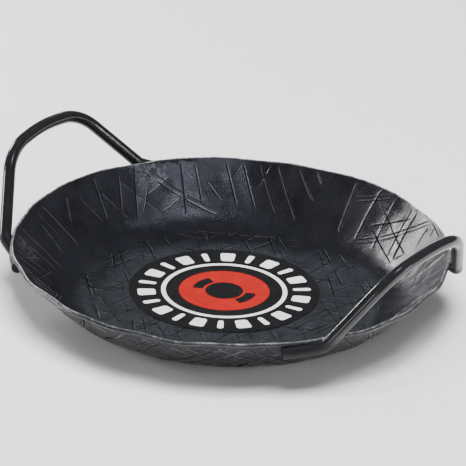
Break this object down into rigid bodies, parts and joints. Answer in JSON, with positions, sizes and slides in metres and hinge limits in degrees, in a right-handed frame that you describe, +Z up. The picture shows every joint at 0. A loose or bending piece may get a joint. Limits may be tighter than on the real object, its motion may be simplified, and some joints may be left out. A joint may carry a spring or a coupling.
{
  "type": "serving pan",
  "caption": "Shallow round forged serving pan with sloping creased walls, two bent bar handles welded outside the rim and a round label on the floor.",
  "frame": {"origin": "centre of the flat underside, on the surface that the pan stands on", "axes": "+Z up out of the bowl, +X from the centre through the middle of the right handle, +Y completes the right-handed set"},
  "size_m": [0.3076, 0.2794, 0.0823],
  "materials": {
    "pan_iron": "blue-black forging scale, satin",
    "handle_steel": "black, gloss",
    "weld_steel": "dark rippled weld",
    "label_paper": "satin black coated paper with a white ring"
  },
  "bodies": {
    "root": {"pan_body": "pan_iron", "handle_right": "handle_steel", "handle_left": "handle_steel", "weld_right_front": "weld_steel", "weld_right_back": "weld_steel", "weld_left_front": "weld_steel", "weld_left_back": "weld_steel", "paper_label": "label_paper"}
  },
  "joints": []
}
